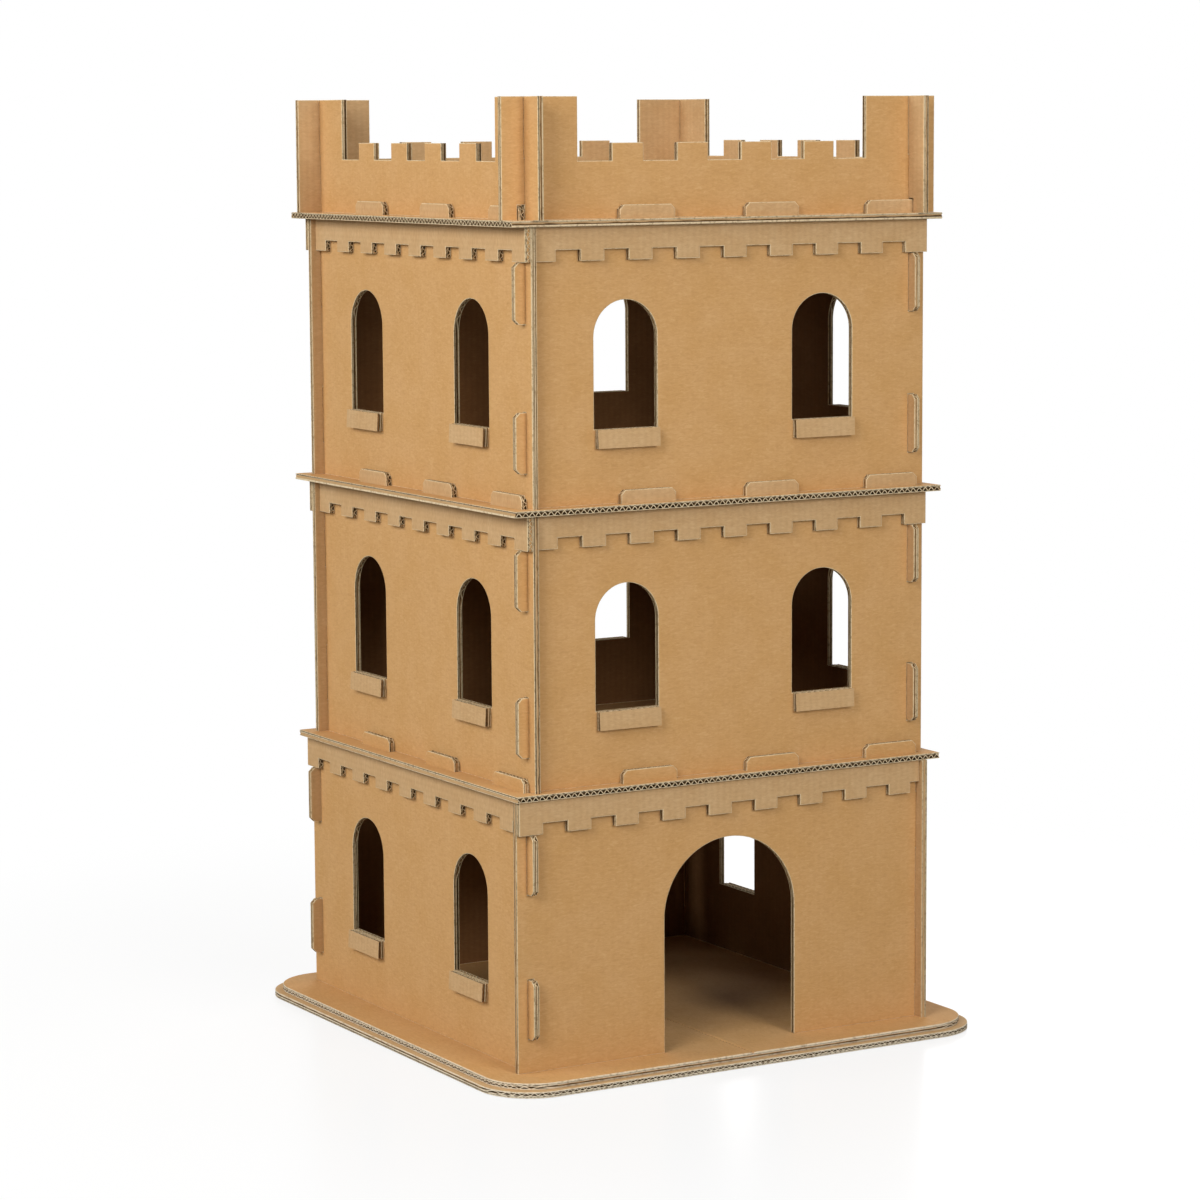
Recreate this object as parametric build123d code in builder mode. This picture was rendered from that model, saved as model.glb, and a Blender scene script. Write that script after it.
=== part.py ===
"""Cardboard castle: three storeys of tabbed and slotted boards with a crenellated roof terrace.

Millimetres, +Z up, origin on the floor under the middle of the castle.
The door wall faces -Y. Every piece is cut from one double-wall corrugated board.
"""
from build123d import *
import math
import os

# The board and its fits
board = 7.0                 # thickness of the double-wall board
tab_gap = 0.3               # air on each side of a tab in its slot
end_gap = 0.3               # air between a strip's end and the wall beside it
tip_bevel = 5.0             # bevel on the corners of every tab

# Base: two rounded sheets, the upper one a little smaller
base_side = 620.0
base_corner = 61.0
base_step = 8.2             # how far the upper sheet stays back on each side
crease_width = 3.0          # pressed across the middle of the upper sheet, for folding it
crease_depth = 1.5

# Storeys
storey_clear = 295.6        # height of a wall
upper_face = 246.5          # middle of the castle to the outside of an upper wall
lower_offset = 0.5          # air between a roof tab of the lowest storey and the wall behind it
wall_overrun = 12.8         # how far a slotted wall end runs past the next wall

# Corner tabs of the walls
corner_tab_height = 64.6
corner_tab_air = 0.5        # between a corner tab and the strip above it
corner_tab_reach = 12.5     # how far a tab comes out of the slotted wall
door_wall_tab_reach = 7.0   # the same for the wall with the door

# Windows with a flap folded out and down as the sill
window_width = 78.5
window_height = 137.0
window_lift = 0.7           # how far a window sits above half the wall's height
window_spread = 125.0       # from the middle of the wall to the middle of a window
sill_drop = 20.0            # how far the folded flap hangs down
sill_kerf = 1.0             # cut away on each side of the flap
sill_spring = 1.0           # how far the free edge of the flap stands off the wall
sill_bend = 1.0             # radius over the outer crease
sill_hinge = 5.0            # height of the uncut board in the crease

# Doorway
door_width = 168.0
door_head = 63.6            # wall left over the top of the arch

# Floors, the topmost one being the deck of the terrace
side_ledge = 25.0           # how far a floor runs out past the left and right walls above it
front_ledge = 18.5          # the same for the front and back walls
hatch_side = 200.0
hatch_corner = 25.0
hatch_margin = 29.5         # floor left between the hatch and the walls

# Tabs that stand up through a floor in front of the wall above
roof_tab_width = 68.0
roof_tab_pitch = 157.0
roof_tab_rise = 14.5        # above the floor

# Toothed valances under the floors
valance_depth = 36.5
tooth_width = 28.8
tooth_gap = 30.3
tooth_length = 12.0
right_strip_setback = 12.8  # how far the lowest strip on the right starts from its wall's end

# Parapet of four boards that cross in half laps
parapet_air = 0.5           # between a parapet board and the roof tabs in front of it
front_board_proud = 1.8     # how far the front and back boards end past the deck
side_board_proud = 10.0     # the same for the left and right boards
parapet_low = 60.7          # height of the rim between the merlons
merlon_rise = 18.8          # height of a merlon above the rim
merlon_width = 38.5
merlon_gap = 42.0
merlon_count = 4
tower_height = 128.2        # height of the parapet's ends
foot_notch_air = 1.5        # air round a roof tab where a parapet board steps over it

# Places worked out from the sizes above
base_top = 2 * board
storey_pitch = storey_clear + board
lower_face = upper_face + board + lower_offset
parapet_face = upper_face - parapet_air
floor_width = 2 * (upper_face + side_ledge)
floor_depth = 2 * (upper_face + front_ledge)
hatch_offset = upper_face - board - hatch_margin - hatch_side / 2
roof_tab_end = lower_face - board
window_rise = (storey_clear - window_height) / 2 + window_lift
door_height = storey_clear - door_head
deck_top = base_top + 3 * storey_pitch
side_names = ("front", "right", "back", "left")
storey_names = ("ground", "middle", "top")
floor_names = ("middle_floor", "top_floor", "terrace_deck")


def side_plane(side, reach, height):
    """Upright plane of one side, seen from outside, with its x to the right and its y up."""
    turn = math.radians(90 * side)
    outward = (math.sin(turn), -math.cos(turn), 0)
    to_the_right = (math.cos(turn), math.sin(turn), 0)
    middle = (outward[0] * reach, outward[1] * reach, height)
    return Plane(origin=middle, x_dir=to_the_right, z_dir=outward)


def section_plane(side, reach, height, along):
    """Upright plane across a side, with its x pointing outwards and its y up."""
    turn = math.radians(90 * side)
    outward = (math.sin(turn), -math.cos(turn), 0)
    to_the_right = (math.cos(turn), math.sin(turn), 0)
    to_the_left = tuple(-part for part in to_the_right)
    middle = [o * reach + r * along for o, r in zip(outward, to_the_right)]
    return Plane(origin=(middle[0], middle[1], height), x_dir=outward, z_dir=to_the_left)


def span(start, end, low, high, mode=Mode.ADD):
    """Rectangle between two places along a side and two heights."""
    with Locations(((start + end) / 2, (low + high) / 2)):
        Rectangle(end - start, high - low, mode=mode)


def arch(width, height, middle, foot):
    """Outline of an opening with a round top."""
    spring = foot + height - width / 2
    with BuildSketch() as opening:
        with BuildLine():
            Polyline(
                (middle - width / 2, spring),
                (middle - width / 2, foot),
                (middle + width / 2, foot),
                (middle + width / 2, spring),
            )
            ThreePointArc(
                (middle + width / 2, spring),
                (middle, foot + height),
                (middle - width / 2, spring),
            )
        make_face()
    return opening.sketch


def top_tab(start, end, low, high):
    """Outline of a tab with bevelled upper corners that stands on the edge of a board."""
    with BuildSketch() as tab:
        with BuildLine():
            Polyline(
                (start, low),
                (end, low),
                (end, high - tip_bevel),
                (end - tip_bevel, high),
                (start + tip_bevel, high),
                (start, high - tip_bevel),
                close=True,
            )
        make_face()
    return tab.sketch


def side_tab(root, tip, low, high):
    """Outline of a tab with bevelled outer corners that leaves the upright edge of a wall."""
    bevel = math.copysign(tip_bevel, tip - root)
    with BuildSketch() as tab:
        with BuildLine():
            Polyline(
                (root, low),
                (tip - bevel, low),
                (tip, low + tip_bevel),
                (tip, high - tip_bevel),
                (tip - bevel, high),
                (root, high),
                close=True,
            )
        make_face()
    return tab.sketch


def fold_section():
    """Section of a flap that is folded out over the bottom of its window."""
    with BuildSketch() as fold:
        with BuildLine():
            Polyline(
                (0, 0),
                (board, 0),
                (board + sill_spring, -sill_drop),
                (sill_spring, -sill_drop),
                (0, -sill_hinge),
                close=True,
            )
        make_face()
        outer_crease = fold.vertices().group_by(Axis.Y)[-1].sort_by(Axis.X)[-1]
        fillet(outer_crease, sill_bend)
    return fold.sketch


def corner_tab_bands():
    """Lower and upper ends of the two tabs of a corner, from the foot of the wall."""
    margin = valance_depth + corner_tab_air
    lower = (margin, margin + corner_tab_height)
    upper = (storey_clear - margin - corner_tab_height, storey_clear - margin)
    return [lower, upper]


def roof_tab_bands():
    """Ends of the three roof tabs of a side, from the middle of the side."""
    ends = [roof_tab_end - roof_tab_pitch * k for k in range(3)]
    return [(end - roof_tab_width, end) for end in ends]


def wall(side, face, foot, slotted_end, tab_reach, roof_tabs, openings):
    """One wall: slots at one end, tabs at the other, openings and folded sills between.

    slotted_end is +1 where the wall runs past its right-hand neighbour and -1 for the left one.
    """
    inner = face - board
    run_past = slotted_end * (face + wall_overrun)
    butt = -slotted_end * inner
    tab_tip = -slotted_end * (face + tab_reach)
    slot_start, slot_end = sorted((slotted_end * (inner - tab_gap), slotted_end * (face + tab_gap)))
    with BuildPart() as panel:
        with BuildSketch(side_plane(side, face, foot)):
            span(min(butt, run_past), max(butt, run_past), 0, storey_clear)
            for low, high in corner_tab_bands():
                add(side_tab(butt, tab_tip, low, high))
                span(slot_start, slot_end, low - tab_gap, high + tab_gap, Mode.SUBTRACT)
            if roof_tabs:
                for start, end in roof_tab_bands():
                    add(top_tab(start, end, storey_clear, storey_clear + board + roof_tab_rise))
            for width, height, middle, rise in openings:
                add(arch(width, height, middle, rise), mode=Mode.SUBTRACT)
        extrude(amount=-board)
        for width, height, middle, rise in openings:
            if rise > 0:
                with BuildSketch(section_plane(side, face, foot + rise, middle)):
                    add(fold_section())
                extrude(amount=width / 2 - sill_kerf, both=True)
    return panel.part


def floor_sheet(height, slot_reach, hatch_x, hatch_y):
    """One floor with twelve slots for roof tabs and a hatch to climb through."""
    with BuildPart() as sheet:
        with BuildSketch(Plane.XY.offset(height)):
            Rectangle(floor_width, floor_depth)
            with Locations((hatch_x, hatch_y)):
                RectangleRounded(hatch_side, hatch_side, hatch_corner, mode=Mode.SUBTRACT)
            for side in range(4):
                with PolarLocations(0, 1, start_angle=90 * side):
                    for start, end in roof_tab_bands():
                        with Locations(((start + end) / 2, -(slot_reach - board / 2))):
                            Rectangle(
                                end - start + 2 * tab_gap,
                                board + 2 * tab_gap,
                                mode=Mode.SUBTRACT,
                            )
        extrude(amount=board)
    return sheet.part


def valance(side, wall_face, top, start, end, first_tooth_at, roof_tabs):
    """Toothed strip under a floor; its teeth are counted from one end."""
    toward = 1 if first_tooth_at == start else -1
    pitch = tooth_width + tooth_gap
    gap_count = math.ceil((end - start - tooth_width) / pitch)
    with BuildPart() as strip:
        with BuildSketch(side_plane(side, wall_face, top)):
            span(start, end, -valance_depth, 0)
            for k in range(gap_count):
                near = first_tooth_at + toward * (tooth_width + k * pitch)
                far = min(max(near + toward * tooth_gap, start), end)
                gap_start, gap_end = sorted((near, far))
                span(gap_start, gap_end, -valance_depth, tooth_length - valance_depth, Mode.SUBTRACT)
            if roof_tabs:
                for tab_start, tab_end in roof_tab_bands():
                    add(top_tab(tab_start, tab_end, 0, board + roof_tab_rise))
        extrude(amount=board)
    return strip.part


def parapet_board(side, reach, lap_from_top):
    """One crenellated board; where it crosses its neighbours half of its height is slotted."""
    crossing = parapet_face - board / 2
    row = merlon_count * merlon_width + (merlon_count + 1) * merlon_gap
    lap_low = tower_height / 2 if lap_from_top else 0
    lap_high = tower_height if lap_from_top else tower_height / 2
    notch_inner = parapet_face
    notch_outer = upper_face + board + foot_notch_air
    with BuildPart() as crest:
        with BuildSketch(side_plane(side, parapet_face, deck_top)):
            span(-reach, reach, 0, tower_height)
            span(-row / 2, row / 2, parapet_low, tower_height, Mode.SUBTRACT)
            for k in range(merlon_count):
                start = -row / 2 + merlon_gap + k * (merlon_width + merlon_gap)
                span(start, start + merlon_width, parapet_low, parapet_low + merlon_rise)
            for crossing_side in (-1, 1):
                middle = crossing_side * crossing
                half = board / 2 + tab_gap
                span(middle - half, middle + half, lap_low, lap_high, Mode.SUBTRACT)
            span(-notch_outer, -notch_inner, 0, roof_tab_rise + foot_notch_air, Mode.SUBTRACT)
        extrude(amount=-board)
    return crest.part


def write(part, name):
    """Labels one piece and writes it."""
    part.label = name
    export_step(part, f"parts/{name}.step")
    print(f"{name}: {len(part.solids())} solid, {part.volume / 1000:.0f} cm3")


os.makedirs("parts", exist_ok=True)

with BuildPart() as base_lower:
    with BuildSketch():
        RectangleRounded(base_side, base_side, base_corner)
    extrude(amount=board)
write(base_lower.part, "base_lower")

with BuildPart() as base_upper:
    with BuildSketch(Plane.XY.offset(board)):
        top_side = base_side - 2 * base_step
        RectangleRounded(top_side, top_side, base_corner - base_step / 2)
    extrude(amount=board)
    with BuildSketch(Plane.XZ):
        with BuildLine():
            Polyline(
                (-crease_width / 2, base_top),
                (crease_width / 2, base_top),
                (0, base_top - crease_depth),
                close=True,
            )
        make_face()
    extrude(amount=base_side / 2, both=True, mode=Mode.SUBTRACT)
write(base_upper.part, "base_upper")

windows = [(window_width, window_height, middle, window_rise) for middle in (-window_spread, window_spread)]
doorway = [(door_width, door_height, 0, 0)]

for storey, storey_name in enumerate(storey_names):
    lowest = storey == 0
    foot = base_top + storey * storey_pitch
    face = lower_face if lowest else upper_face
    slotted_end = -1 if lowest else 1
    for side, side_name in enumerate(side_names):
        has_door = lowest and side_name == "front"
        openings = doorway if has_door else windows
        tab_reach = door_wall_tab_reach if has_door else corner_tab_reach
        panel = wall(side, face, foot, slotted_end, tab_reach, lowest, openings)
        write(panel, f"{storey_name}_wall_{side_name}")

        setback = right_strip_setback if lowest and side_name == "right" else 0
        long_end = slotted_end * (face + wall_overrun - setback)
        short_end = -slotted_end * (face - board - end_gap)
        start = min(long_end, short_end)
        end = max(long_end, short_end)
        strip = valance(side, face, foot + storey_clear, start, end, long_end, not lowest)
        write(strip, f"{storey_name}_valance_{side_name}")

    roof_tab_face = lower_face if lowest else upper_face + board
    hatch_x = -hatch_offset * (-1) ** storey
    sheet = floor_sheet(foot + storey_clear, roof_tab_face, hatch_x, hatch_offset)
    write(sheet, floor_names[storey])

for side, side_name in enumerate(side_names):
    crosses_on_top = side_name in ("left", "right")
    if crosses_on_top:
        reach = floor_depth / 2 + side_board_proud
    else:
        reach = floor_width / 2 + front_board_proud
    write(parapet_board(side, reach, not crosses_on_top), f"parapet_{side_name}")
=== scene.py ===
"""Looks of the cardboard castle: die-cut double-wall board, ply by ply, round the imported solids.

Metres, +Z up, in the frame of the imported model. Every board is three kraft liners with a fluted
medium glued between each two, cut to the outline that its solid has.
"""

import logging
import math
import random
from dataclasses import dataclass
from enum import Enum
from typing import Any

import bmesh
import bpy
from mathutils import Matrix, Vector


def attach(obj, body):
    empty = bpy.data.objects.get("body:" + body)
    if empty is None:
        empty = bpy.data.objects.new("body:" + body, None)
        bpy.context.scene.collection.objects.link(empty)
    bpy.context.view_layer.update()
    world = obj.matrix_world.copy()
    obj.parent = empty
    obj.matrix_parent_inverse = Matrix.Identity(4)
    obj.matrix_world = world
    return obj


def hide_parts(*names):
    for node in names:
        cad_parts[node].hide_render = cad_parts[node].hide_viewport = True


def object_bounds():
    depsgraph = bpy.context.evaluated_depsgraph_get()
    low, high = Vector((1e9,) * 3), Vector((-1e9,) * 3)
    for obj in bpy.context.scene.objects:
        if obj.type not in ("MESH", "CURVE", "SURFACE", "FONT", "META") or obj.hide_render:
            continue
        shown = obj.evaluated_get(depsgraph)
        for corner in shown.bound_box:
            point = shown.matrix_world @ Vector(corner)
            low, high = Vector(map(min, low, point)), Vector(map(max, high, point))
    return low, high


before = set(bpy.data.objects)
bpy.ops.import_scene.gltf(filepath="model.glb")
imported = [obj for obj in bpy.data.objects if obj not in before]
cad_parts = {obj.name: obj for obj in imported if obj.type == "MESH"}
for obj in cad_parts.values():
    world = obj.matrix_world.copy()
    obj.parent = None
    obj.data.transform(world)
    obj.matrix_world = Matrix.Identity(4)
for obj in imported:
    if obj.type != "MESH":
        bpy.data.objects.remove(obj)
cad_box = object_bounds()

log = logging.getLogger("castle")

MM = 0.001
BODY = "root"

# Points nearer to each other than MERGE_MM are one; lengths closer than SAME_MM are the same.
MERGE_MM = 0.001
SAME_MM = 0.01

# Upright share of a face's normal above which the face is level, plain paper, or not yet a cut.
LEVEL_SHARE = 0.999
PAPER_SHARE = 0.97
CUT_SHARE = 0.3

# Period of the wave texture at a scale of 1, in metres, and how paper bends light.
WAVE_PERIOD = math.pi / 10
PAPER_IOR = 1.5

# Longest side of the tabs that stand at the upper end of the walls and valances.
TAB_SIDE_MM = 26.0


class Way(Enum):
    """Directions along the axes of the castle, or of a board that lies with its face up."""

    LEFT = (-1, 0, 0)
    RIGHT = (1, 0, 0)
    FRONT = (0, -1, 0)
    BACK = (0, 1, 0)
    UP = (0, 0, 1)
    DOWN = (0, 0, -1)

    @property
    def vector(self) -> Vector:
        """The direction as a vector."""
        return Vector(self.value)

    @property
    def letter(self) -> str:
        """Letter of the axis that the direction lies along."""
        return "XYZ"[[abs(part) for part in self.value].index(1)]


SIDES = {"front": Way.FRONT, "right": Way.RIGHT, "back": Way.BACK, "left": Way.LEFT}


class Ply(Enum):
    """Material slots that every board has, in this order."""

    FACE = 0
    BACK = 1
    CUT_EDGE = 2
    MEDIUM = 3
    # Darker paper of painted shade, for the rooms and the undersides of the floors.
    ROOM_SHADE = 4


class Edge(Enum):
    """Kinds of cut: what the die left of the papers and of the medium between them."""

    WALL = "wall"
    DECK = "deck"
    BASE = "base"


def linear(hex_code: str) -> tuple[float, float, float, float]:
    """Turns an sRGB hex colour to the linear colour that the shaders take.

    Args:
        hex_code: six hex digits after a number sign.

    Returns:
        Linear red, green, blue and an alpha of 1.
    """
    channels = [int(hex_code[i:i + 2], 16) / 255 for i in (1, 3, 5)]
    red, green, blue = [
        c / 12.92 if c <= 0.04045 else ((c + 0.055) / 1.055) ** 2.4 for c in channels
    ]
    return red, green, blue, 1.0


def add_node(
    tree: bpy.types.NodeTree,
    kind: str,
    settings: dict[str, Any] | None = None,
    values: dict[Any, Any] | None = None,
    links: dict[Any, bpy.types.NodeSocket] | None = None,
) -> bpy.types.Node:
    """Adds a node with its settings, socket values and links.

    Args:
        tree: node tree that gets the node.
        kind: the node's type.
        settings: properties of the node by name.
        values: values of its input sockets by name or number.
        links: outputs that feed its input sockets, by name or number.

    Returns:
        The new node.
    """
    node = tree.nodes.new(kind)
    for name, value in (settings or {}).items():
        setattr(node, name, value)
    for key, value in (values or {}).items():
        node.inputs[key].default_value = value
    for key, source in (links or {}).items():
        tree.links.new(source, node.inputs[key])
    return node


def tint(
    tree: bpy.types.NodeTree, under: Any, hex_code: str, source: bpy.types.NodeSocket,
    span: tuple[float, float], share: float,
) -> bpy.types.NodeSocket:
    """Lays a colour over another where a pattern calls for it.

    Args:
        tree: node tree of the material.
        under: the colour below, a linear one or an output.
        hex_code: the colour laid over it.
        source: the pattern.
        span: value of the pattern that leaves the colour below as it is, and the value at
            which the colour over it has its full share.
        share: that full share.

    Returns:
        The mixed colour's output.
    """
    amount = add_node(
        tree, "ShaderNodeMapRange",
        values={"From Min": span[0], "From Max": span[1], "To Max": share},
        links={"Value": source},
    )
    mixed = add_node(
        tree, "ShaderNodeMix", {"data_type": "RGBA"}, {7: linear(hex_code)},
        {0: amount.outputs[0]},
    )
    if isinstance(under, bpy.types.NodeSocket):
        tree.links.new(under, mixed.inputs[6])
    else:
        mixed.inputs[6].default_value = under
    return mixed.outputs[2]


def per_metre(size_mm: float) -> float:
    """Scale of a pattern whose grains measure size_mm."""
    return 1 / (size_mm * MM)


def new_material(name: str) -> tuple[bpy.types.Material, bpy.types.NodeTree]:
    """Makes an empty node material.

    Args:
        name: what the material is.

    Returns:
        The material and its node tree.
    """
    material = bpy.data.materials.new(name)
    material.use_nodes = True
    material.node_tree.nodes.clear()
    return material, material.node_tree


@dataclass(frozen=True)
class Grain:
    """A noise: the size of its grains, and how fine, how rough and how swirled they are."""

    size_mm: float
    detail: float
    roughness: float
    swirl: float = 0.0

    def add(
        self, tree: bpy.types.NodeTree, place: bpy.types.NodeSocket
    ) -> bpy.types.NodeSocket:
        """Adds the noise to a material.

        Args:
            tree: node tree of the material.
            place: coordinates of the noise.

        Returns:
            The output of the noise, from 0 to 1.
        """
        noise = add_node(
            tree, "ShaderNodeTexNoise",
            values={"Scale": per_metre(self.size_mm), "Detail": self.detail,
                    "Roughness": self.roughness, "Distortion": self.swirl},
            links={"Vector": place},
        )
        return noise.outputs["Fac"]


@dataclass(frozen=True)
class KraftLiner:
    """Kraft liner, paper of long softwood fibres, glued hot over the flutes.

    The eye sees a matt tan with soft clouds, dark and pale fibres lying across the flutes and a
    few bark specks. Where light grazes the paper, the flutes show as low ribs under it, and
    painted shade darkens the hollows between them.
    """

    name: str
    paper: str
    cloud: str
    dark_fibre: str
    pale_fibre: str
    cloud_grain: Grain = Grain(34.0, 4.0, 0.55)
    cloud_span: tuple[float, float] = (0.32, 0.68)
    fibre_grain: Grain = Grain(2.4, 5.0, 0.68, 0.8)
    fibre_stretch: float = 3.0
    dark_span: tuple[float, float] = (0.48, 0.78)
    pale_span: tuple[float, float] = (0.46, 0.22)
    fibre_share: float = 0.42
    fibre_depth_mm: float = 0.04
    speck_mm: float = 0.7
    speck_spacing_mm: float = 9.0
    speck_share: float = 0.6
    rib_sway: float = 0.6
    rib_span: tuple[float, float] = (0.2, 1.0)
    rib_shade_share: float = 0.03
    rib_depth_mm: float = 0.03
    roughness: float = 0.86
    roughness_swing: float = 0.06
    gloss: float = 0.28

    def build(self, across: Way, pitch_mm: float) -> bpy.types.Material:
        """Makes the paper with its stripes along the flutes of one board.

        Args:
            across: direction across the flutes.
            pitch_mm: spacing of the flutes under this liner.

        Returns:
            The material.
        """
        material, tree = new_material(f"{self.name}_{across.letter}")
        place = add_node(tree, "ShaderNodeTexCoord").outputs["Object"]
        cloud = self.cloud_grain.add(tree, place)
        squeeze = [1 / self.fibre_stretch if axis == across.letter else 1.0 for axis in "XYZ"]
        along_paper = add_node(
            tree, "ShaderNodeMapping", values={"Scale": squeeze}, links={"Vector": place}
        )
        fibre = self.fibre_grain.add(tree, along_paper.outputs[0])
        speck = add_node(
            tree, "ShaderNodeTexVoronoi",
            values={"Scale": per_metre(self.speck_spacing_mm), "Randomness": 1.0},
            links={"Vector": place},
        )
        rib = add_node(
            tree, "ShaderNodeTexWave",
            {"wave_type": "BANDS", "bands_direction": across.letter, "wave_profile": "SIN"},
            {"Scale": WAVE_PERIOD * per_metre(pitch_mm), "Distortion": self.rib_sway,
             "Detail": 1.0, "Detail Scale": 0.5},
            {"Vector": place},
        )
        speck_size = self.speck_mm / self.speck_spacing_mm / 2
        speck_span = (speck_size, speck_size / 2)
        colour: Any = linear(self.paper)
        for hex_code, source, span, share in (
            (self.cloud, cloud, self.cloud_span, 1.0),
            (self.dark_fibre, fibre, self.dark_span, self.fibre_share),
            (self.pale_fibre, fibre, self.pale_span, self.fibre_share),
            # Painted shade in the hollows of the ribs.
            (self.dark_fibre, rib.outputs["Fac"], self.rib_span, self.rib_shade_share),
            (self.dark_fibre, speck.outputs["Distance"], speck_span, self.speck_share),
        ):
            colour = tint(tree, colour, hex_code, source, span, share)
        rough = add_node(
            tree, "ShaderNodeMapRange",
            values={"To Min": self.roughness - self.roughness_swing,
                    "To Max": self.roughness + self.roughness_swing},
            links={"Value": fibre},
        )
        grain = add_node(
            tree, "ShaderNodeBump",
            values={"Strength": 1.0, "Distance": self.fibre_depth_mm * MM},
            links={"Height": fibre},
        )
        board = add_node(
            tree, "ShaderNodeBump",
            {"invert": True}, {"Strength": 1.0, "Distance": self.rib_depth_mm * MM},
            {"Height": rib.outputs["Fac"], "Normal": grain.outputs[0]},
        )
        paper = add_node(
            tree, "ShaderNodeBsdfPrincipled",
            values={"IOR": PAPER_IOR, "Specular IOR Level": self.gloss},
            links={"Base Color": colour, "Roughness": rough.outputs[0],
                   "Normal": board.outputs[0]},
        )
        add_node(tree, "ShaderNodeOutputMaterial", links={"Surface": paper.outputs[0]})
        return material


@dataclass(frozen=True)
class CutPaper:
    """Paper seen at a die cut: paler than its face, with torn fibres that catch the light.

    Where the die crushed the edge, short dark nicks of painted shade, standing for small gaps in
    the cut, break its pale line.
    """

    name: str
    paper: str
    torn: str
    nick: str
    torn_grain: Grain = Grain(1.6, 3.0, 0.7)
    torn_depth_mm: float = 0.08
    nick_grain: Grain = Grain(4.0, 2.0, 0.6)
    nick_span: tuple[float, float] = (0.52, 0.66)
    nick_share: float = 0.5
    roughness: float = 0.95
    gloss: float = 0.2

    def build(self) -> bpy.types.Material:
        """Makes the paper of one kind of cut.

        Returns:
            The material.
        """
        material, tree = new_material(self.name)
        place = add_node(tree, "ShaderNodeTexCoord").outputs["Object"]
        torn = self.torn_grain.add(tree, place)
        # Dark nicks: painted shade of small gaps along the cut.
        crushed = self.nick_grain.add(tree, place)
        colour = tint(tree, linear(self.paper), self.torn, torn, (0.0, 1.0), 1.0)
        colour = tint(tree, colour, self.nick, crushed, self.nick_span, self.nick_share)
        bump = add_node(
            tree, "ShaderNodeBump",
            values={"Strength": 1.0, "Distance": self.torn_depth_mm * MM}, links={"Height": torn},
        )
        paper = add_node(
            tree, "ShaderNodeBsdfPrincipled",
            values={"IOR": PAPER_IOR, "Specular IOR Level": self.gloss,
                    "Roughness": self.roughness},
            links={"Base Color": colour, "Normal": bump.outputs[0]},
        )
        add_node(tree, "ShaderNodeOutputMaterial", links={"Surface": paper.outputs[0]})
        return material


@dataclass(frozen=True)
class Flute:
    """Size of one corrugated medium: wave length, room for the wave, and paper."""

    pitch_mm: float
    height_mm: float
    paper_mm: float = 0.45


@dataclass(frozen=True)
class DoubleWall:
    """Make-up of the board in millimetres, from its face to its back.

    The waves drift: each comes early or late by up to drift radians, in turns of drift_waves.
    The die squeezes the rim: rim_rings holds the width of each slope there and its share of the
    rim_sink_mm, counted from the cut. Cuts along the flutes within end_reach_mm of the board's
    ends are closed by a strip of coarse medium that the die pressed upright. It stands about
    end_inset_mm behind the cut and has a kink every end_crumple_mm.
    """

    face_mm: float = 0.6
    fine: Flute = Flute(6.33, 1.6)
    middle_mm: float = 0.4
    coarse: Flute = Flute(7.83, 3.8, 0.65)
    back_mm: float = 0.6
    glue_mm: float = 0.06
    steps: int = 8
    least_steps: int = 4
    drift: float = 0.35
    drift_waves: float = 7.3
    spare_mm: float = 2.0
    rim_sink_mm: float = 0.4
    rim_rings: tuple[tuple[float, float], ...] = ((0.6, 0.7), (1.0, 0.3))
    end_reach_mm: float = 26.0
    end_inset_mm: float = 0.7
    end_paper_mm: float = 0.35
    end_crumple_mm: float = 9.0

    @property
    def board_mm(self) -> float:
        """Thickness of the whole board."""
        papers = self.face_mm + self.middle_mm + self.back_mm
        return papers + self.fine.height_mm + self.coarse.height_mm


# The base has heavy papers and low flutes; the floors show one row of high thick waves.
HEAVY_BOARD = DoubleWall(
    face_mm=0.9, fine=Flute(6.33, 1.5, 0.6), middle_mm=0.8, coarse=Flute(7.83, 2.9, 0.8),
    back_mm=0.9,
)
DECK_BOARD = DoubleWall(
    face_mm=0.5, fine=Flute(6.33, 1.0, 0.35), middle_mm=0.3, coarse=Flute(7.83, 4.6, 0.85),
    back_mm=0.6,
)


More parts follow.
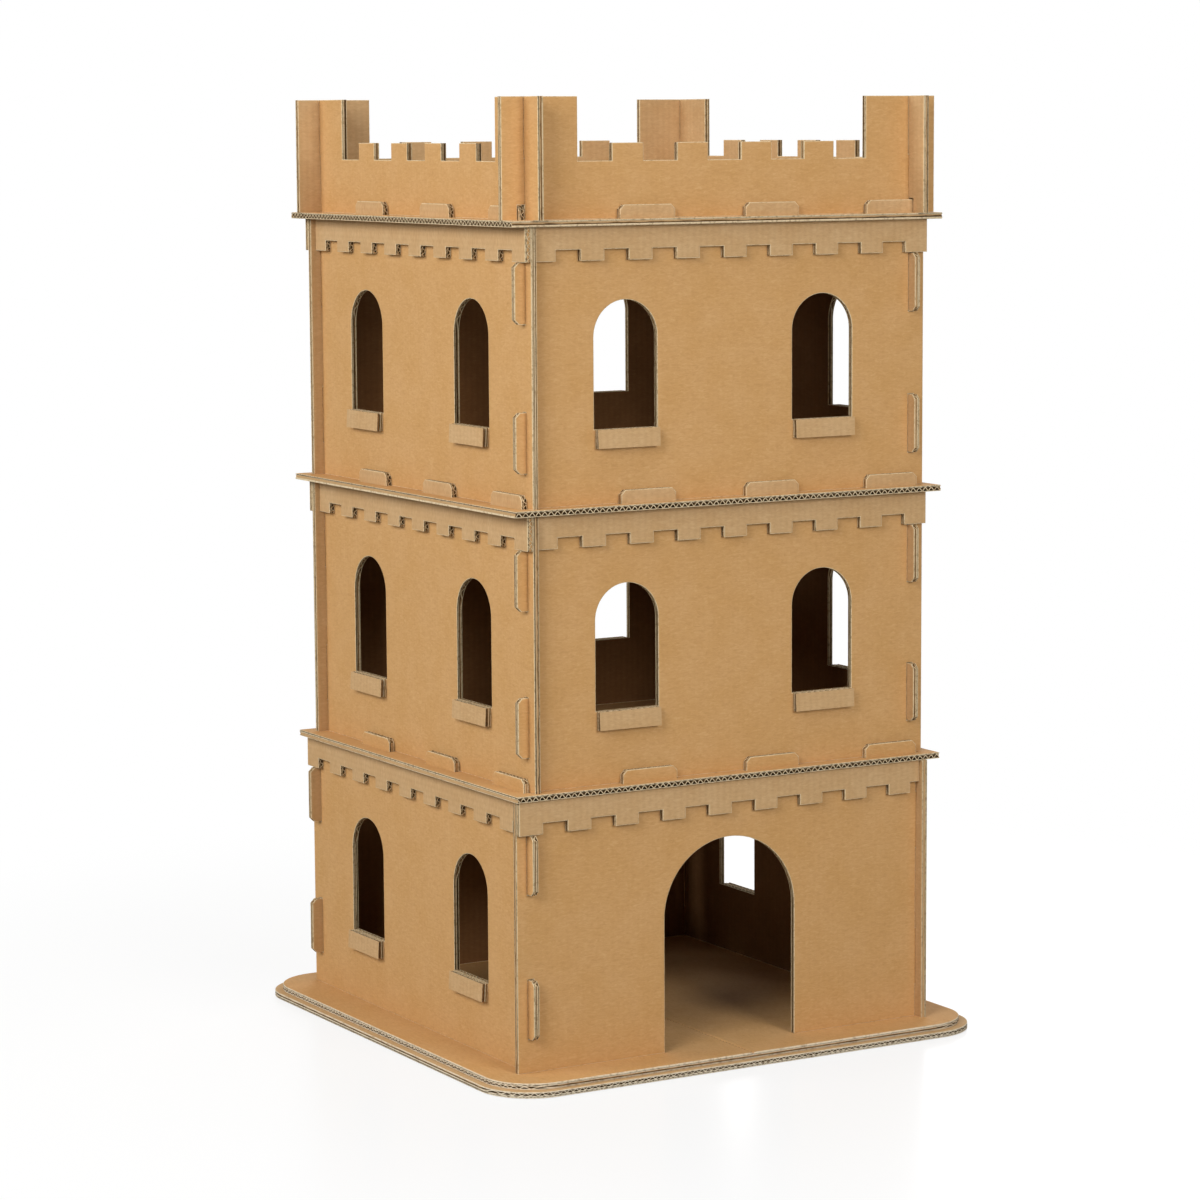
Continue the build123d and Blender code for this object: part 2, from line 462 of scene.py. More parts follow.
class Finishes:
    """Every material of the castle, made once for each direction that the flutes take."""

    def __init__(self) -> None:
        """Sets the papers up."""
        # Outer liner: a warm matt tan, the main tone of the castle.
        self.face = KraftLiner("kraft_face_liner", "#CDA06A", "#C89A61", "#A97B46", "#E0BA88")
        # Second liner: paler and greyer, so valances and sills stand off from the walls.
        self.back = KraftLiner(
            "kraft_back_liner", "#CAA679", "#C59F70", "#A5804F", "#E1C397",
            rib_shade_share=0.1, rib_depth_mm=0.05,
        )
        # Room liner: dark red brown with strong painted shade in its ribs. Its darkness is painted
        # shade, so that the rooms and the undersides of the floors stay dark.
        self.room = KraftLiner(
            "room_liner_painted_shade", "#855D36", "#7E562F", "#654222", "#9B754B",
            rib_shade_share=0.15, rib_depth_mm=0.06,
        )
        # Cut liners: pale fibres that outline each board. The medium between them is darker, its
        # own paper tone with painted shade in the flute cells, darkest in floors and base, where
        # the waves read as a row of holes.
        painted_shade_medium = CutPaper("fluting_painted_shade", "#4F3A22", "#6B4F30", "#33261A").build()
        self.edges = {
            Edge.WALL: (
                CutPaper("kraft_cut_edge", "#D3B88B", "#E9D7B3", "#94754B").build(),
                CutPaper("wall_fluting_painted_shade", "#7A5C3A", "#8F7048", "#5A4228").build(),
            ),
            Edge.DECK: (
                CutPaper("fresh_cut_edge", "#D2B78C", "#EDDDBC", "#8A6A43").build(), painted_shade_medium
            ),
            Edge.BASE: (
                CutPaper("heavy_cut_edge", "#E0CCAA", "#F2E7D0", "#A08258").build(), painted_shade_medium
            ),
        }
        self.made: dict[tuple[str, str], bpy.types.Material] = {}

    def liner(self, paper: KraftLiner, across: Way, pitch_mm: float) -> bpy.types.Material:
        """Gives a liner for one direction of the flutes.

        Args:
            paper: the liner's paper.
            across: direction across the flutes.
            pitch_mm: spacing of the flutes under it.

        Returns:
            The material, shared by every board that lies that way.
        """
        key = (paper.name, across.letter)
        if key not in self.made:
            self.made[key] = paper.build(across, pitch_mm)
        return self.made[key]


def merged(node: str) -> bmesh.types.BMesh:
    """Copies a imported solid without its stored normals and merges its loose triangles.

    Args:
        node: name of the solid.

    Returns:
        The closed mesh, which the caller frees.
    """
    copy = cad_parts[node].data.copy()
    stored_normals = copy.attributes.get("custom_normal")
    if stored_normals:
        copy.attributes.remove(stored_normals)
    mesh = bmesh.new()
    mesh.from_mesh(copy)
    bpy.data.meshes.remove(copy)
    bmesh.ops.remove_doubles(mesh, verts=mesh.verts, dist=MERGE_MM * MM)
    return mesh


def corners(mesh: bmesh.types.BMesh) -> tuple[Vector, Vector]:
    """Gives the two corners of a mesh's box.

    Args:
        mesh: the mesh.

    Returns:
        The corner with the least and the one with the greatest coordinates.
    """
    low, high = (
        Vector([pick(v.co[axis] for v in mesh.verts) for axis in range(3)])
        for pick in (min, max)
    )
    return low, high


def split(sheet: bmesh.types.BMesh, way: Way, distance: float) -> None:
    """Cuts the faces of a mesh along a plane, without parting them.

    Args:
        sheet: the mesh.
        way: direction square to the plane.
        distance: how far along it the plane lies.
    """
    bmesh.ops.bisect_plane(
        sheet, geom=sheet.verts[:] + sheet.edges[:] + sheet.faces[:],
        plane_co=way.vector * distance, plane_no=way.vector,
    )


def append(target: bmesh.types.BMesh, part: bmesh.types.BMesh) -> None:
    """Adds one mesh to another.

    Args:
        target: the mesh that grows.
        part: the mesh that it takes in, which is freed.
    """
    mesh = bpy.data.meshes.new("part")
    part.to_mesh(mesh)
    part.free()
    target.from_mesh(mesh)
    bpy.data.meshes.remove(mesh)


def intersection(part: bmesh.types.BMesh, solid: bmesh.types.BMesh) -> bmesh.types.BMesh:
    """Keeps what of a closed mesh lies in a solid.

    Args:
        part: the closed mesh, which is freed.
        solid: the solid, which stays.

    Returns:
        The mesh of the common space.
    """
    objects = []
    for name, mesh in (("kept", part), ("solid", solid)):
        data = bpy.data.meshes.new(name)
        mesh.to_mesh(data)
        thing = bpy.data.objects.new(name, data)
        bpy.context.scene.collection.objects.link(thing)
        objects.append(thing)
    part.free()
    kept, cutter = objects
    cut = kept.modifiers.new("outline", "BOOLEAN")
    cut.operation = "INTERSECT"
    cut.solver = "MANIFOLD"
    cut.object = cutter
    result = bmesh.new()
    result.from_object(kept, bpy.context.evaluated_depsgraph_get())
    for thing in objects:
        data = thing.data
        bpy.data.objects.remove(thing)
        bpy.data.meshes.remove(data)
    return result


@dataclass
class Board:
    """One die-cut board, built ply by ply in the outline of its solid.

    Its face looks the way of facing and its flutes run the way of flutes. A turned board has the
    back of its papers outside. The crushed medium also closes the ends of the flutes within
    shut_mm of the board's ends, and the sides, up to shut_tab_mm long, of the tabs at its upper
    end.
    """

    node: str
    facing: Way
    flutes: Way
    finishes: Finishes
    plies: DoubleWall = DoubleWall()
    turned: bool = False
    back_ply: Ply = Ply.BACK
    edge: Edge = Edge.WALL
    shut_mm: float = 0.0
    shut_tab_mm: float = 0.0

    def __post_init__(self) -> None:
        """Works out how the board lies: x across the flutes, y along them, z to its face."""
        across = self.flutes.vector.cross(self.facing.vector)
        self.across = next(way for way in Way if way.vector.dot(across) > 0.5)
        axes = (across, self.flutes.vector, self.facing.vector)
        self.to_world = Matrix(axes).transposed().to_4x4()
        self.random = random.Random(self.node)

    def build(self) -> bpy.types.Object:
        """Builds the board and puts it in the place of its solid.

        Returns:
            The finished piece.
        """
        solid = merged(self.node)
        bmesh.ops.transform(solid, matrix=self.to_world.inverted(), verts=solid.verts)
        back = corners(solid)[0].z
        outline = self.outline(solid, back)
        made = bmesh.new()
        waves = bmesh.new()
        plies = self.plies
        face = back + plies.board_mm * MM
        back_liner = self.skin(outline, back, Way.DOWN, plies.back_mm)
        self.dress_back(back_liner, back)
        append(made, back_liner)
        coarse_level = back + plies.back_mm * MM
        append(waves, self.wave(solid, coarse_level, plies.coarse))
        level = coarse_level + plies.coarse.height_mm * MM
        append(made, self.sheet(outline, level, plies.middle_mm * MM))
        level += plies.middle_mm * MM
        append(waves, self.wave(solid, level, plies.fine))
        face_liner = self.skin(outline, face, Way.UP, plies.face_mm)
        self.press(face_liner)
        append(made, face_liner)
        core = self.core(outline, back)
        append(made, self.mark_sides(intersection(waves, core)))
        core.free()
        self.add_parts(made, solid, back)
        self.add_ends(made, outline, coarse_level)
        solid.free()
        outline.free()
        return self.piece(made)

    def outline(self, solid: bmesh.types.BMesh, back: float) -> bmesh.types.BMesh:
        """Copies the flat back of the solid.

        Args:
            solid: the solid, lying with its face up.
            back: height of its back.

        Returns:
            The faces of the back alone.
        """
        sheet = solid.copy()
        off = [
            f for f in sheet.faces
            if f.normal.z > -LEVEL_SHARE or any(abs(v.co.z - back) > SAME_MM * MM for v in f.verts)
        ]
        bmesh.ops.delete(sheet, geom=off, context="FACES")
        bmesh.ops.translate(sheet, verts=sheet.verts, vec=(0, 0, -back))
        return sheet

    def sheet(
        self, outline: bmesh.types.BMesh, level: float, thick: float
    ) -> bmesh.types.BMesh:
        """Makes a flat closed sheet in the board's outline.

        Args:
            outline: the board's flat outline, facing down.
            level: height of the sheet's lower side.
            thick: its thickness.

        Returns:
            The closed sheet.
        """
        sheet = outline.copy()
        bmesh.ops.translate(sheet, verts=sheet.verts, vec=(0, 0, level))
        self.thicken(sheet, thick)
        return self.mark_sides(sheet)

    @staticmethod
    def thicken(sheet: bmesh.types.BMesh, height: float) -> None:
        """Closes an open sheet by pulling a copy of it straight up or down.

        Args:
            sheet: the open sheet.
            height: how far the copy goes up.
        """
        grown = bmesh.ops.extrude_face_region(sheet, geom=sheet.faces[:])
        moved = [part for part in grown["geom"] if isinstance(part, bmesh.types.BMVert)]
        bmesh.ops.translate(sheet, verts=moved, vec=(0, 0, height))
        bmesh.ops.recalc_face_normals(sheet, faces=sheet.faces)

    def squeeze_rim(self, sheet: bmesh.types.BMesh, faces: list[bmesh.types.BMFace]) -> None:
        """Lets flat faces rise above their rim, which stays where it is.

        Args:
            sheet: mesh of the faces.
            faces: the faces, which rise along their normals.
        """
        for width, share in self.plies.rim_rings:
            bmesh.ops.inset_region(
                sheet, faces=faces, use_boundary=True, use_even_offset=True,
                thickness=width * MM, depth=share * self.plies.rim_sink_mm * MM,
            )

    def skin(
        self, outline: bmesh.types.BMesh, level: float, way: Way, thick_mm: float
    ) -> bmesh.types.BMesh:
        """Makes an outer liner, whose rim the die squeezed towards the board's middle.

        Args:
            outline: the board's flat outline, facing down.
            level: height of the liner's outer side.
            way: up for the liner of the face, down for that of the back.
            thick_mm: thickness of the paper.

        Returns:
            The closed liner.
        """
        out = way.value[2]
        sheet = outline.copy()
        if way is Way.UP:
            bmesh.ops.reverse_faces(sheet, faces=sheet.faces)
        rim_level = level - out * self.plies.rim_sink_mm * MM
        bmesh.ops.translate(sheet, verts=sheet.verts, vec=(0, 0, rim_level))
        self.squeeze_rim(sheet, sheet.faces[:])
        self.thicken(sheet, -out * thick_mm * MM)
        paper = Ply.FACE if way is Way.UP else self.back_ply
        self.mark_sides(sheet)
        for face in sheet.faces:
            outwards = face.normal.z * out
            if outwards > CUT_SHARE:
                # The steep outer slope of the rim takes the pale cut paper: partly scuffed fibres,
                # partly a painted highlight along the rim.
                ply = paper if outwards > PAPER_SHARE else Ply.CUT_EDGE
                face.material_index = ply.value
        return sheet

    def core(self, outline: bmesh.types.BMesh, back: float) -> bmesh.types.BMesh:
        """Makes the body that the flutes fill, its sides half-way into the outer liners.

        Args:
            outline: the board's flat outline, facing down.
            back: height of the board's back.

        Returns:
            The closed body.
        """
        plies = self.plies
        inside = (plies.back_mm / 2 + plies.rim_sink_mm) * MM
        core = self.sheet(outline, back + inside, plies.board_mm * MM - 2 * inside)
        core.normal_update()
        self.squeeze_rim(core, [face for face in core.faces if abs(face.normal.z) > 0.5])
        return core

    def wave(self, solid: bmesh.types.BMesh, level: float, flute: Flute) -> bmesh.types.BMesh:
        """Makes a fluted medium as large as the board's box and a little more.

        Args:
            solid: the solid, lying with its face up.
            level: height of the liner's upper side under it.
            flute: size of the flutes.

        Returns:
            The closed sheet, not yet cut to the outline.
        """
        spare = self.plies.spare_mm * MM
        low, high = corners(solid)
        x_span = (low.x - spare, high.x + spare)
        y_span = (low.y - spare, high.y + spare)
        return self.waved_sheet(x_span, y_span, level, flute)

    def waved_sheet(
        self, x_span: tuple[float, float], y_span: tuple[float, float], level: float, flute: Flute
    ) -> bmesh.types.BMesh:
        """Makes a corrugated sheet with its flutes along y.

        Args:
            x_span: its ends across the flutes.
            y_span: its ends along the flutes.
            level: height of the liner's upper side under it.
            flute: size of the flutes.

        Returns:
            The closed sheet.
        """
        plies = self.plies
        width = x_span[1] - x_span[0]
        length = y_span[1] - y_span[0]
        step_count = max(plies.least_steps, round(width / (flute.pitch_mm * MM) * plies.steps))
        sheet = bmesh.new()
        bmesh.ops.create_grid(sheet, x_segments=step_count, y_segments=1, size=0.5)
        bmesh.ops.scale(sheet, verts=sheet.verts, vec=(width, length, 1))
        paper = flute.paper_mm * MM
        swing = (flute.height_mm / 2 + plies.glue_mm) * MM - paper / 2
        phase = self.random.uniform(0, math.tau)
        drift_phase = self.random.uniform(0, math.tau)
        for vert in sheet.verts:
            turn = math.tau * vert.co.x / (flute.pitch_mm * MM)
            drift = plies.drift * math.sin(turn / plies.drift_waves + drift_phase)
            vert.co.z = swing * math.sin(turn + phase + drift)
        bmesh.ops.recalc_face_normals(sheet, faces=sheet.faces)
        bmesh.ops.solidify(sheet, geom=sheet.faces[:], thickness=paper)
        low, high = corners(sheet)
        middle = (high.z + low.z) / 2
        shift = (
            (x_span[0] + x_span[1]) / 2,
            (y_span[0] + y_span[1]) / 2,
            level + flute.height_mm * MM / 2 - middle,
        )
        bmesh.ops.translate(sheet, verts=sheet.verts, vec=shift)
        bmesh.ops.recalc_face_normals(sheet, faces=sheet.faces)
        return self.mark_sides(sheet)

    def add_ends(
        self, made: bmesh.types.BMesh, outline: bmesh.types.BMesh, level: float
    ) -> None:
        """Closes cuts near the ends of the board with crushed coarse medium.

        Args:
            made: the board so far, lying with its face up.
            outline: the board's flat outline.
            level: height of the liner's upper side under the medium.
        """
        low, high = corners(outline)
        tab_side = self.shut_tab_mm * MM
        reaches = (self.plies.end_reach_mm * MM, self.shut_mm * MM)
        for edge in outline.edges:
            one, other = (v.co for v in edge.verts)
            for axis, reach in enumerate(reaches):
                if not edge.is_boundary or abs(one[axis] - other[axis]) > SAME_MM * MM:
                    continue
                board_is_above = edge.link_faces[0].calc_center_median()[axis] > one[axis]
                end = low if board_is_above else high
                is_tab = axis == 0 and (other - one).length < tab_side
                is_tab = is_tab and high.y - min(one.y, other.y) < tab_side
                if is_tab or abs(one[axis] - end[axis]) < reach:
                    inwards = Vector((0, 0, 0))
                    inwards[axis] = 1 if board_is_above else -1
                    append(made, self.crushed_end(one, other, inwards, level))

    def crushed_end(
        self, one: Vector, other: Vector, inwards: Vector, level: float
    ) -> bmesh.types.BMesh:
        """Makes the strip of coarse medium that the die pressed upright between two liners.

        Args:
            one: where the cut begins.
            other: where it stops.
            inwards: direction from the cut into the board.
            level: height of the liner's upper side under the strip.

        Returns:
            The closed strip.
        """
        plies = self.plies
        run = other - one
        rise = Vector((0, 0, plies.coarse.height_mm * MM))
        strip = bmesh.new()
        step_count = max(1, round(run.length / (plies.end_crumple_mm * MM)))
        bmesh.ops.create_grid(strip, x_segments=step_count, y_segments=1, size=0.5)
        upright = Matrix((run, rise, inwards)).transposed().to_4x4()
        bmesh.ops.transform(strip, matrix=upright, verts=strip.verts)
        for vert in strip.verts:
            vert.co += self.random.uniform(-0.5, 0.5) * plies.end_inset_mm * MM * inwards
        bmesh.ops.solidify(strip, geom=strip.faces[:], thickness=plies.end_paper_mm * MM)
        place = (one + other + rise) / 2 + Vector((0, 0, level))
        place += inwards * (plies.end_inset_mm + plies.end_paper_mm) * MM
        bmesh.ops.translate(strip, verts=strip.verts, vec=place)
        bmesh.ops.recalc_face_normals(strip, faces=strip.faces)
        for face in strip.faces:
            face.material_index = Ply.BACK.value
        return strip

    @staticmethod
    def mark_sides(sheet: bmesh.types.BMesh) -> bmesh.types.BMesh:
        """Marks the sides of a paper as inner ones and, where the die went through it, its cut.

        Args:
            sheet: the paper, lying with the board's face up.

        Returns:
            The same paper.
        """
        sheet.normal_update()
        for face in sheet.faces:
            is_cut = abs(face.normal.z) < CUT_SHARE
            # Inner sides take the medium's paper, whose dark tone paints shade into the flute
            # cells.
            face.material_index = Ply.CUT_EDGE.value if is_cut else Ply.MEDIUM.value
        return sheet

    def dress_back(self, back_sheet: bmesh.types.BMesh, back: float) -> None:
        """Changes the paper on parts of the back; plain boards have one paper there."""

    def press(self, face_sheet: bmesh.types.BMesh) -> None:
        """Presses creases into the face liner; plain boards have none."""

    def add_parts(
        self, made: bmesh.types.BMesh, solid: bmesh.types.BMesh, back: float
    ) -> None:
        """Adds what a kind of board has beside its flat plies; plain boards have nothing."""

    def piece(self, made: bmesh.types.BMesh) -> bpy.types.Object:
        """Turns the finished mesh to its place, dresses it and hands it to the frame.

        Args:
            made: the board, lying with its face up, which is freed.

        Returns:
            The finished piece.
        """
        bmesh.ops.transform(made, matrix=self.to_world, verts=made.verts)
        mesh = bpy.data.meshes.new(f"{self.node}_board")
        for face in made.faces:
            face.smooth = face.material_index == Ply.MEDIUM.value
        made.to_mesh(mesh)
        made.free()
        finishes = self.finishes
        papers = [finishes.face, finishes.back]
        if self.turned:
            papers.reverse()
        fine, coarse = self.plies.fine.pitch_mm, self.plies.coarse.pitch_mm
        for material in (
            finishes.liner(papers[0], self.across, fine),
            finishes.liner(papers[1], self.across, coarse),
            *finishes.edges[self.edge],
            finishes.liner(finishes.room, self.across, coarse),
        ):
            mesh.materials.append(material)
        thing = bpy.data.objects.new(f"{self.node}_board", mesh)
        bpy.context.scene.collection.objects.link(thing)
        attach(thing, BODY)
        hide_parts(self.node)
        log.info("%s: %d faces", thing.name, len(mesh.polygons))
        return thing


@dataclass
class FoldedSheet(Board):
    """A sheet with a crease pressed across its middle, where it was folded for its box."""

    crease_width_mm: float = 3.0
    crease_depth_mm: float = 1.4
    soft_width_mm: float = 7.0
    soft_share: float = 1 / 6

    def press(self, face_sheet: bmesh.types.BMesh) -> None:
        """Presses the face liner down along the middle, with a soft shoulder on each side.

        Args:
            face_sheet: the face liner, lying with its face up.
        """
        half, soft = self.crease_width_mm * MM / 2, self.soft_width_mm * MM / 2
        for distance in (-soft, -half, 0, half, soft):
            split(face_sheet, Way.BACK, distance)
        for vert in face_sheet.verts:
            away = abs(vert.co.y)
            if away < half / 2:
                vert.co.z -= self.crease_depth_mm * MM
            elif away < (half + soft) / 2:
                vert.co.z -= self.crease_depth_mm * MM * self.soft_share


@dataclass
class Wall(Board):
    """A wall; each window's flap is cut through at the back and folded out over the face."""

    # Its back in the room takes the darker paper of painted shade.
    back_ply: Ply = Ply.ROOM_SHADE
    shut_tab_mm: float = TAB_SIDE_MM
    sill_drop_mm: float = 20.0
    sill_spring_mm: float = 1.0

    def dress_back(self, back_sheet: bmesh.types.BMesh, back: float) -> None:
        """Keeps the darker paper of painted shade to the room, so that the tabs outside it show
        the plain one.

        Args:
            back_sheet: the back liner, lying with the board's face up.
            back: height of the back, which is also half the width of the room.
        """
        for distance in (-back, back):
            split(back_sheet, Way.RIGHT, distance)
        for face in back_sheet.faces:
            is_room = face.material_index == Ply.ROOM_SHADE.value
            if is_room and abs(face.calc_center_median().x) > back:
                face.material_index = Ply.BACK.value

    def add_parts(
        self, made: bmesh.types.BMesh, solid: bmesh.types.BMesh, back: float
    ) -> None:
        """Adds the sills.

        Args:
            made: the board so far, lying with its face up.
            solid: its solid, lying the same way.
            back: height of its back.
        """
        face = back + self.plies.board_mm * MM
        flap_points = [v.co for v in solid.verts if v.co.z > face + self.sill_spring_mm * MM / 2]
        low, high = corners(solid)
        middle = (low.x + high.x) / 2
        for side in (-1, 1):
            points = [p for p in flap_points if (p.x - middle) * side > 0]
            if points:
                x_span = (min(p.x for p in points), max(p.x for p in points))
                self.add_sill(made, x_span, max(p.y for p in points), face)

    def add_sill(
        self, made: bmesh.types.BMesh, x_span: tuple[float, float], top: float, face: float
    ) -> None:
        """Adds one folded flap, whose plies lie in the turned order.

        Args:
            made: the board so far, lying with its face up.
            x_span: ends of the flap.
            top: height of its fold.
            face: height of the wall's face.
        """
        plies = self.plies
        flap = bmesh.new()
        y_span = (top - self.sill_drop_mm * MM, top)
        level = face
        append(flap, self.strip(x_span, y_span, level, plies.face_mm * MM, Ply.FACE))
        level += plies.face_mm * MM
        append(flap, self.waved_sheet(x_span, y_span, level, plies.fine))
        level += plies.fine.height_mm * MM
        append(flap, self.strip(x_span, y_span, level, plies.middle_mm * MM, Ply.CUT_EDGE))
        level += plies.middle_mm * MM
        append(flap, self.waved_sheet(x_span, y_span, level, plies.coarse))
        level += plies.coarse.height_mm * MM
        append(flap, self.strip(x_span, y_span, level, plies.back_mm * MM, Ply.BACK))
        lean = self.sill_spring_mm / self.sill_drop_mm
        shear = Matrix.Identity(4)
        shear[2][1] = -lean
        shear[2][3] = lean * top
        bmesh.ops.transform(flap, matrix=shear, verts=flap.verts)
        append(made, flap)

    def strip(
        self, x_span: tuple[float, float], y_span: tuple[float, float],
        level: float, thick: float, paper: Ply,
    ) -> bmesh.types.BMesh:
        """Makes one flat sheet of a flap.

        Args:
            x_span: its ends across the flutes.
            y_span: its ends along the flutes.
            level: height of its lower side.
            thick: its thickness.
            paper: what its two sides show.

        Returns:
            The closed sheet.
        """
        sheet = bmesh.new()
        bmesh.ops.create_cube(sheet, size=1)
        size = (x_span[1] - x_span[0], y_span[1] - y_span[0], thick)
        centre = ((x_span[0] + x_span[1]) / 2, (y_span[0] + y_span[1]) / 2, level + thick / 2)
        bmesh.ops.scale(sheet, verts=sheet.verts, vec=size)
        bmesh.ops.translate(sheet, verts=sheet.verts, vec=centre)
        for face in sheet.faces:
            flat = abs(face.normal.z) > 0.5
            face.material_index = paper.value if flat else Ply.CUT_EDGE.value
        return sheet


class Castle:
    """The whole castle, board by board."""

    storeys = ("ground", "middle", "top")
    valance_shut_mm = 1.0

    def __init__(self) -> None:
        """Makes the finishes."""
        self.finishes = Finishes()

    def build(self) -> list[bpy.types.Object]:
        """Builds every board.

        Returns:
            The finished pieces.
        """
        boards: list[Board] = [
            kind(f"base_{layer}", facing, flutes, self.finishes, HEAVY_BOARD, edge=Edge.BASE)
            for kind, layer, facing, flutes in (
                (Board, "lower", Way.DOWN, Way.BACK), (FoldedSheet, "upper", Way.UP, Way.RIGHT)
            )
        ]
        for name, flutes in (
            ("middle_floor", Way.BACK), ("top_floor", Way.BACK), ("terrace_deck", Way.RIGHT)
        ):
            # Floors show the darker paper of painted shade on their undersides.
            boards.append(
                Board(
                    name, Way.UP, flutes, self.finishes, DECK_BOARD, back_ply=Ply.ROOM_SHADE,
                    edge=Edge.DECK,
                )
            )
        for side, way in SIDES.items():
            for storey in self.storeys:
                boards.append(Wall(f"{storey}_wall_{side}", way, Way.UP, self.finishes))
                boards.append(self.valance(storey, side, way))
            boards.append(Board(f"parapet_{side}", way, Way.UP, self.finishes))
        return [board.build() for board in boards]

    def valance(self, storey: str, side: str, way: Way) -> Board:
        """Gives the toothed strip of one side, which is turned to show the back of its papers.

        Args:
            storey: name of the storey.
            side: name of the side.
            way: direction of the side.

        Returns:
            The board, not yet built.
        """
        lengthwise = way in (Way.LEFT, Way.RIGHT)
        return Board(
            f"{storey}_valance_{side}", way, Way.BACK if lengthwise else Way.UP, self.finishes,
            turned=True, shut_mm=self.valance_shut_mm if lengthwise else 0.0,
            shut_tab_mm=TAB_SIDE_MM,
        )


@dataclass(frozen=True)
class Lamp:
    """A soft square lamp that looks at the middle of the castle.

    Its bearing is counted from straight in front, with the left side of the castle below zero.
    Distance and size are in metres, the power in watts.
    """

    name: str
    bearing_deg: float
    height_deg: float
    distance: float
    size: float
    power: float

    def build(self) -> None:
        """Adds the lamp."""
        bearing, height = math.radians(self.bearing_deg), math.radians(self.height_deg)
        towards = Vector((
            math.sin(bearing) * math.cos(height),
            -math.cos(bearing) * math.cos(height),
            math.sin(height),
        ))
        data = bpy.data.lights.new(self.name, "AREA")
        data.shape = "SQUARE"
        data.size = self.size
        data.energy = self.power
        lamp = bpy.data.objects.new(self.name, data)
        lamp.location = (cad_box[0] + cad_box[1]) / 2 + towards * self.distance
        lamp.rotation_euler = towards.to_track_quat("Z", "Y").to_euler()
        bpy.context.scene.collection.objects.link(lamp)


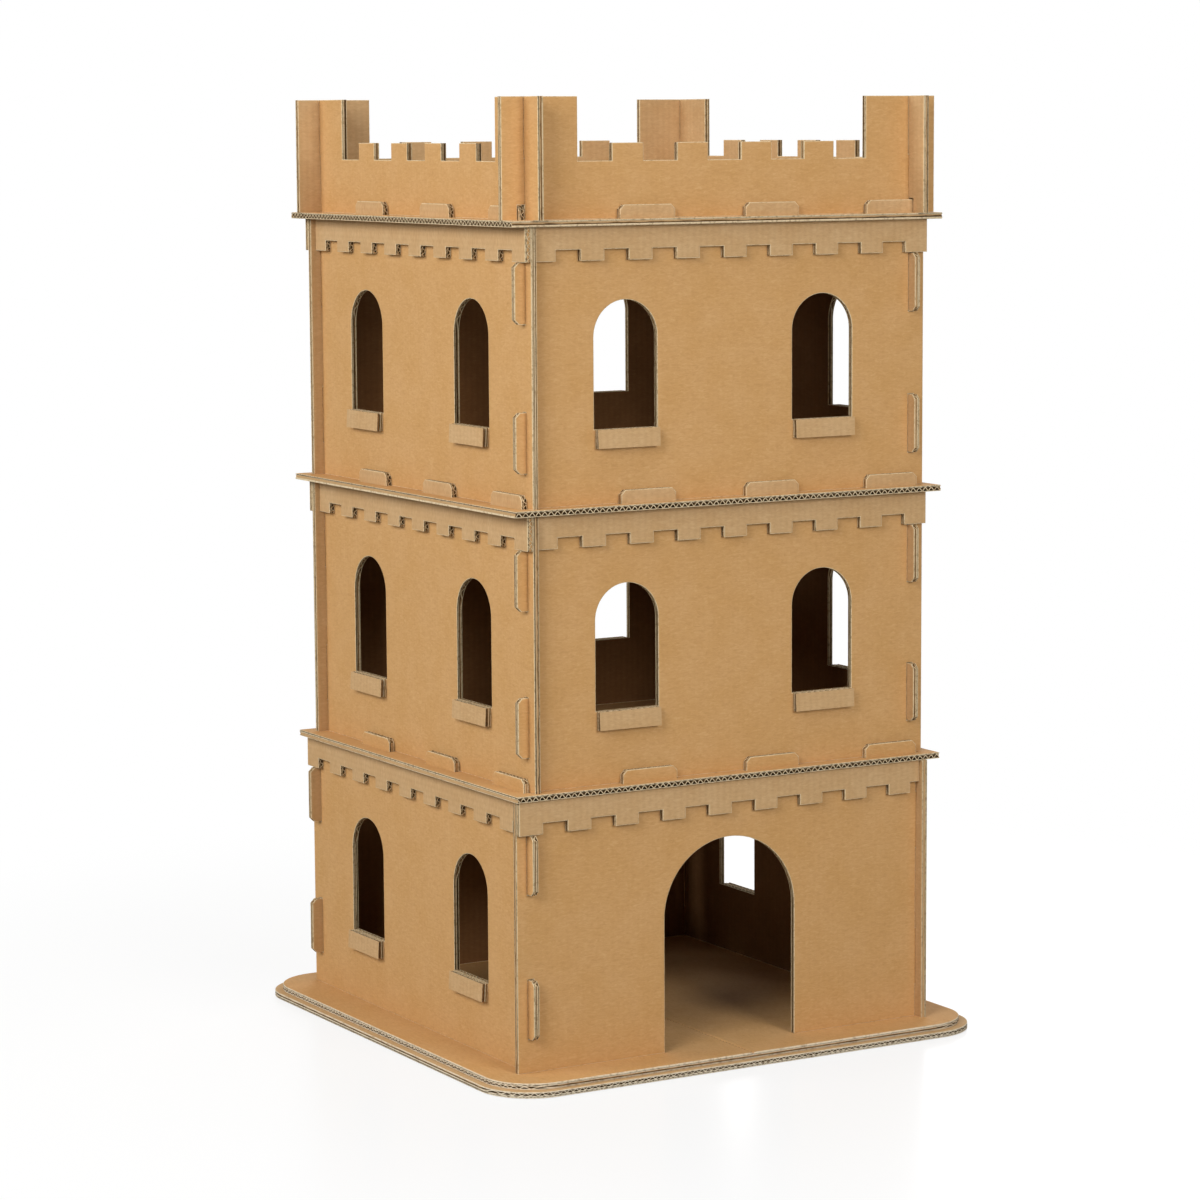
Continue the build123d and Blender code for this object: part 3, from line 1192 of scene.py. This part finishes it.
@dataclass
class Studio:
    """White sweep, soft lamps and the camera of the photograph.

    The camera's place, turn and focal length come from the corners of the castle in the
    photograph. Sizes without a unit are in metres.
    """

    lamps: tuple[Lamp, ...] = (
        Lamp("front_lamp", 3, 17, 3.2, 1.0, 41.5),
        Lamp("corner_lamp", -57, 26, 3.2, 1.3, 42.5),
        Lamp("side_lamp", -102, 24, 4.0, 1.6, 69.0),
        Lamp("overhead_lamp", -20, 76, 3.2, 1.2, 23.0),
        Lamp("back_lamp", 140, 18, 4.0, 2.4, 68.0),
    )
    camera_mm: tuple[float, float, float] = (-2146.78, -3682.24, 1020.49)
    azimuth_deg: float = -30.06
    pitch_deg: float = 7.23
    roll_deg: float = -0.34
    focal_px: float = 3749.15
    image_px: float = 1200.0
    sensor_mm: float = 36.0
    view_range: float = 100.0
    sky_strength: float = 0.04
    sweep_size: float = 30.0
    sweep_gap: float = 0.0005
    white: str = "#F8F8F6"
    bounce: str = "#9A9A98"
    sheen: float = 0.25
    shadow_share: float = 0.2
    shadow_from: float = 0.45
    shadow_to: float = 1.3

    def build(self) -> None:
        """Builds the studio."""
        self.add_camera()
        self.add_sky()
        self.add_sweep()
        for lamp in self.lamps:
            lamp.build()

    def add_camera(self) -> None:
        """Adds the camera where the photograph was taken."""
        azimuth, pitch, roll = map(math.radians, (self.azimuth_deg, self.pitch_deg, self.roll_deg))
        back = Vector((
            math.sin(azimuth) * math.cos(pitch),
            -math.cos(azimuth) * math.cos(pitch),
            math.sin(pitch),
        ))
        right = (-back).cross(Vector((0, 0, 1))).normalized()
        up = right.cross(-back)
        tilted_right = math.cos(roll) * right + math.sin(roll) * up
        tilted_up = math.cos(roll) * up - math.sin(roll) * right
        data = bpy.data.cameras.new("camera")
        data.sensor_width = self.sensor_mm
        data.lens = self.focal_px / self.image_px * self.sensor_mm
        data.clip_end = self.view_range
        camera = bpy.data.objects.new("camera", data)
        turn = Matrix((tilted_right, tilted_up, back)).transposed().to_4x4()
        camera.matrix_world = Matrix.Translation(Vector(self.camera_mm) * MM) @ turn
        bpy.context.scene.collection.objects.link(camera)
        bpy.context.scene.camera = camera

    def add_sky(self) -> None:
        """Adds a dim even sky that the camera sees as white."""
        world = bpy.data.worlds.new("studio")
        bpy.context.scene.world = world
        world.use_nodes = True
        tree = world.node_tree
        tree.nodes.clear()
        seen = self.seen(tree)
        strength = add_node(
            tree, "ShaderNodeMapRange", values={"To Min": self.sky_strength, "To Max": 1.0},
            links={"Value": seen},
        )
        light = add_node(
            tree, "ShaderNodeBackground", values={"Color": (1, 1, 1, 1)},
            links={"Strength": strength.outputs[0]},
        )
        add_node(tree, "ShaderNodeOutputWorld", links={"Surface": light.outputs[0]})

    @staticmethod
    def seen(tree: bpy.types.NodeTree) -> bpy.types.NodeSocket:
        """Gives 1 for rays from the camera, also through gloss and glass, else 0.

        Args:
            tree: node tree that asks.

        Returns:
            The output socket.
        """
        path = add_node(tree, "ShaderNodeLightPath")
        seen = path.outputs["Is Camera Ray"]
        for ray in ("Is Glossy Ray", "Is Transmission Ray"):
            either = add_node(
                tree, "ShaderNodeMath", {"operation": "MAXIMUM"},
                links={0: seen, 1: path.outputs[ray]},
            )
            seen = either.outputs[0]
        return seen

    def add_sweep(self) -> None:
        """Adds the floor, white far away and with the castle's soft shadow near it."""
        mesh = bmesh.new()
        bmesh.ops.create_grid(mesh, x_segments=1, y_segments=1, size=self.sweep_size / 2)
        data = bpy.data.meshes.new("studio_floor")
        mesh.to_mesh(data)
        mesh.free()
        sweep = bpy.data.objects.new("studio_floor", data)
        sweep.location = (0, 0, -self.sweep_gap)
        bpy.context.scene.collection.objects.link(sweep)
        material, tree = new_material("painted_sweep")
        seen = self.seen(tree)
        tone = add_node(
            tree, "ShaderNodeMix", {"data_type": "RGBA"},
            {6: linear(self.bounce), 7: linear(self.white)}, {0: seen},
        )
        paint = add_node(
            tree, "ShaderNodeBsdfPrincipled", values={"Roughness": self.sheen},
            links={"Base Color": tone.outputs[2]},
        )
        glow = add_node(tree, "ShaderNodeEmission", values={"Color": (1, 1, 1, 1)})
        place = add_node(tree, "ShaderNodeTexCoord").outputs["Object"]
        away = add_node(tree, "ShaderNodeVectorMath", {"operation": "LENGTH"}, links={0: place})
        fade = add_node(
            tree, "ShaderNodeMapRange", {"interpolation_type": "SMOOTHSTEP"},
            {"From Min": self.shadow_from, "From Max": self.shadow_to,
             "To Min": 1 - self.shadow_share, "To Max": 1.0},
            {"Value": away.outputs["Value"]},
        )
        share = add_node(
            tree, "ShaderNodeMath", {"operation": "MULTIPLY"}, links={0: seen, 1: fade.outputs[0]}
        )
        both = add_node(
            tree, "ShaderNodeMixShader",
            links={0: share.outputs[0], 1: paint.outputs[0], 2: glow.outputs[0]},
        )
        add_node(tree, "ShaderNodeOutputMaterial", links={"Surface": both.outputs[0]})
        data.materials.append(material)


def main() -> None:
    """Builds the castle and its studio."""
    logging.basicConfig(level=logging.INFO, format="%(name)s %(message)s")
    pieces = Castle().build()
    log.info("%d boards", len(pieces))
    Studio().build()
    bpy.context.scene.view_settings.view_transform = "Standard"


if __name__ == "__main__":
    main()
